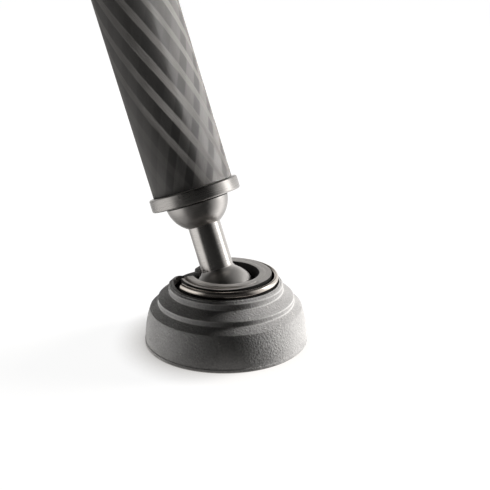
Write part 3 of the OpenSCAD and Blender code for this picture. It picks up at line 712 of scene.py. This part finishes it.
rim = [(PAD_R, PLATE_TOP), (PAD_R, PAD_TOP - 0.4), (PAD_R - 0.12, PAD_TOP - 0.1), (PAD_R - 0.4, PAD_TOP)]
holes = [stack(0, 0, 80, (PAD_HOLE_R + 0.3, PAD_TOP), (PAD_HOLE_R, PAD_TOP - 0.2), (PAD_HOLE_R, PLATE_TOP))]
for x, y in SET_PLACES:
    rings = (SET_HOLE_R + 0.2, PAD_TOP), (SET_HOLE_R, PAD_TOP - 0.2), (SET_HOLE_R, PLATE_TOP)
    holes.append(stack(x, y, 32, *rings))
dress(drilled("plate_rubber_pad", stack(0, 0, 160, *rim), holes), "top_pad")


def screw_thread(r, z, a):
    """A helical thread of sixteen turns to the inch, cut into the screw above its disc."""
    if not PAD_TOP < z < SCREW_TOP - 0.1 or r < 4.0:
        return r, z
    turn = (z / THREAD_PITCH - a / (2 * math.pi)) % 1
    return r - THREAD_DEEP * min(1.0, max(0.0, 1.35 - 3.2 * abs(turn - 0.5))), z


screw = [
    (0, SCREW_LOW), (SCREW_R, SCREW_LOW), (SCREW_R, PLATE_TOP), (DISC_R, PLATE_TOP),
    (DISC_R, DISC_TOP - 0.2), (DISC_R - 0.2, DISC_TOP), (5.1, DISC_TOP), (SCREW_R, PAD_TOP),
]
screw += [(SCREW_R, PAD_TOP + THREAD_LEN * k / THREAD_STEPS) for k in range(1, THREAD_STEPS + 1)]
screw += [(4.5, SCREW_TOP - 0.4), (4.0, SCREW_TOP), (0, SCREW_TOP)]
dress(turned("camera_thread_screw", screw, COLUMN, 96, warp=screw_thread), "camera_screw")

for k, (x, y) in enumerate(SET_PLACES):
    rings = (SET_R - 0.3, SET_LOW), (SET_R, SET_LOW + 0.3), (SET_R, SET_TOP - 0.25), (SET_R - 0.25, SET_TOP)
    socket = stack(x, y, 6, (SOCKET_R, SET_TOP), (SOCKET_R, SET_TOP - SOCKET_DEEP))
    dress(drilled(f"plate_set_screw_{k + 1}", stack(x, y, 32, *rings), [socket]), "set_screws")


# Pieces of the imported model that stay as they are

for name, node in frame["nodes"].items():
    if not node.hide_render:
        for place in node.material_slots:
            place.material = LOOKS[SLOT[name]]


# Floor, light and camera

scene = bpy.context.scene


def sides(tree, x, y):
    """The turn away from the front, in radians, and how much of it lies on the right."""
    turn = calc(tree, "ARCTAN2", calc(tree, "ABSOLUTE", x), calc(tree, "MULTIPLY", y, -1.0))
    return turn, calc(tree, "GREATER_THAN", x, 0.0)


def mirrored_white(tree, turn, right):
    """How much white a mirror meets that way: a dark room before the object, white beside and behind it."""
    left_white = span(tree, turn, math.radians(43), math.radians(65), 0.03, 0.85)
    dip = calc(tree, "ABSOLUTE", calc(tree, "SUBTRACT", turn, math.radians(132)))
    left_white = calc(tree, "MULTIPLY", left_white, span(tree, dip, 0.0, math.radians(40), 0.45, 1.0))
    right_white = span(tree, turn, math.radians(44), math.radians(86), 0.03, 0.85)
    return blend(tree, right, left_white, right_white)


def ray_kinds(tree):
    """Whether the camera looks, and whether a mirror does."""
    path = put(tree, "ShaderNodeLightPath").outputs
    return path["Is Camera Ray"], calc(tree, "MAXIMUM", path["Is Glossy Ray"], path["Is Transmission Ray"])


FLOOR_HALF = 4
mesh = bmesh.new()
bmesh.ops.create_grid(mesh, x_segments=1, y_segments=1, size=FLOOR_HALF)
floor = finished("floor", mesh, Matrix.Identity(4))
look, tree, shader = new_look("white_floor")
where = place_in(tree)
x, y, z = put(tree, "ShaderNodeSeparateXYZ", {0: where}).outputs
out = from_axis(tree, x, y)
seen, mirror = ray_kinds(tree)
turn, right = sides(tree, x, y)
paper = mixed(tree, noise(tree, where, 30, 2), grey(0.86), grey(0.9))
feed(tree, shader, Base_Color=mixed(tree, 0.88, paper, grey(0.0)))
shader.inputs["Roughness"].default_value = 0.8
shader.inputs["Specular IOR Level"].default_value = 0.0

# Painted bounce light: the floor glows for matt faces, much on the left, little on the right, some close round the
# foot
painted_bounce_left = span(tree, turn, math.radians(20), math.radians(75), 0.02, 1.0)
painted_bounce_left = calc(tree, "MULTIPLY", painted_bounce_left, span(tree, out, 70 * MM, 130 * MM, 4.8, 0.5))
painted_bounce_left = calc(tree, "MULTIPLY", painted_bounce_left, span(tree, out, 26 * MM, 60 * MM, 0.45, 1.0))
painted_bounce_right = span(tree, turn, math.radians(50), math.radians(90), 0.02, 0.2)
painted_bounce = blend(tree, right, painted_bounce_left, painted_bounce_right)
painted_bounce = calc(tree, "MAXIMUM", painted_bounce, span(tree, out, 29 * MM, 37 * MM, 0.6, 0.0))

# What the camera sees: white, with a painted warm shadow close to the object that is deeper on the left
open_sky = put(tree, "ShaderNodeAmbientOcclusion", {"Distance": 0.011}, samples=8).outputs["AO"]
depth = span(tree, x, -24 * MM, 12 * MM, 1.1, 0.2)
painted_shadow = calc(tree, "MULTIPLY", calc(tree, "SUBTRACT", 1.0, open_sky), depth)
contact = calc(tree, "SUBTRACT", span(tree, out, 80 * MM, 400 * MM, 0.95, 1.0), painted_shadow)
tint = mixed(tree, open_sky, grey(1.0), grey(1.0, 0.0))

# What metal sees in the floor's glow, a painted reflection: darker near the foot on the left, and brighter towards
# the strip lamp on the right
from_strip = calc(tree, "ABSOLUTE", calc(tree, "SUBTRACT", turn, math.radians(108)))
painted_strip_reflection = span(tree, from_strip, 0.0, math.radians(30), 2.2, 1.1)
near_foot = span(tree, out, 35 * MM, 80 * MM, 0.35, 1.0)
white = calc(tree, "MULTIPLY", mirrored_white(tree, turn, right), blend(tree, right, near_foot, painted_strip_reflection))

# The floor's glow: white to the camera, painted bounce light to matt faces, and a painted reflection to metal
level = blend(tree, seen, blend(tree, mirror, painted_bounce, white), contact)
glow = put(tree, "ShaderNodeEmission", {"Strength": level, "Color": tint}).outputs[0]
lit = put(tree, "ShaderNodeAddShader", {0: shader.outputs[0], 1: glow}).outputs[0]
both = put(tree, "ShaderNodeMixShader", {0: seen, 1: glow, 2: lit}).outputs[0]
tree.links.new(both, tree.nodes["Material Output"].inputs["Surface"])
floor.data.materials.append(look)

world = bpy.data.worlds.new("studio")
world.use_nodes = True
scene.world = world
tree = world.node_tree
where = put(tree, "ShaderNodeTexCoord").outputs["Generated"]
x, y, z = put(tree, "ShaderNodeSeparateXYZ", {0: where}).outputs
turn, right = sides(tree, x, y)
seen, mirror = ray_kinds(tree)
soft = span(tree, turn, math.radians(70), math.radians(110), 0.02, blend(tree, right, 0.5, 0.25))
soft = calc(tree, "MULTIPLY", soft, span(tree, z, 0.1, 0.6, 1.0, 0.05))
tall_left, tall_right = span(tree, z, 0.15, 0.55, 1.0, 0.06), span(tree, z, 0.4, 0.8, 1.0, 0.1)
tall = blend(tree, span(tree, x, 0.3, 0.7), tall_left, tall_right)
white = calc(tree, "MULTIPLY", mirrored_white(tree, turn, right), tall)
sky = tree.nodes["Background"]
tree.links.new(calc(tree, "MAXIMUM", blend(tree, mirror, soft, white), seen), sky.inputs["Strength"])
sky.inputs["Color"].default_value = (1, 1, 1, 1)


def softbox(name, energy, size, spot, aim):
    """An area lamp that faces a point."""
    data = bpy.data.lights.new(name, "AREA")
    data.energy = energy
    data.shape = "RECTANGLE"
    data.size, data.size_y = size
    lamp = bpy.data.objects.new(name, data)
    lamp.location = spot
    lamp.rotation_euler = (Vector(aim) - Vector(spot)).to_track_quat("-Z", "Y").to_euler()
    scene.collection.objects.link(lamp)
    return lamp


# The key lights matt faces, metal shows the dimmer strip beside it, and a glint lights the carbon's fibres
key = softbox("key_right", 49, (0.4, 0.4), (1.1, 0.36, 0.34), (0, 0, 0.03))
key.visible_glossy = False
strip = softbox("strip_right", 2.4, (0.45, 0.9), (1.13, 0.2, 0.3), (0, 0, 0.06))
strip.visible_diffuse = False
glint = softbox("fibre_light", 8.5, (0.4, 0.4), (0.8, -0.75, 0.55), (0, 0, 0.06))
glint.visible_diffuse = False
glint.light_linking.receiver_collection = fibres

# The camera that was fitted to the photo's outlines
CAMERA_SPOT = (-0.001645, -0.234763, 0.107614)
CAMERA_PITCH, CAMERA_YAW = 18.2927, 1.8195
lens = bpy.data.cameras.new("photo_camera")
lens.lens = 60.66
lens.sensor_width = 36.0
lens.clip_start = 0.01
camera = bpy.data.objects.new("photo_camera", lens)
camera.location = CAMERA_SPOT
pitch, yaw = math.radians(CAMERA_PITCH), math.radians(CAMERA_YAW)
forward = Vector((math.sin(yaw) * math.cos(pitch), math.cos(yaw) * math.cos(pitch), -math.sin(pitch)))
camera.rotation_euler = forward.to_track_quat("-Z", "Y").to_euler()
scene.collection.objects.link(camera)
scene.camera = camera
scene.view_settings.view_transform = "Standard"

bpy.context.view_layer.update()
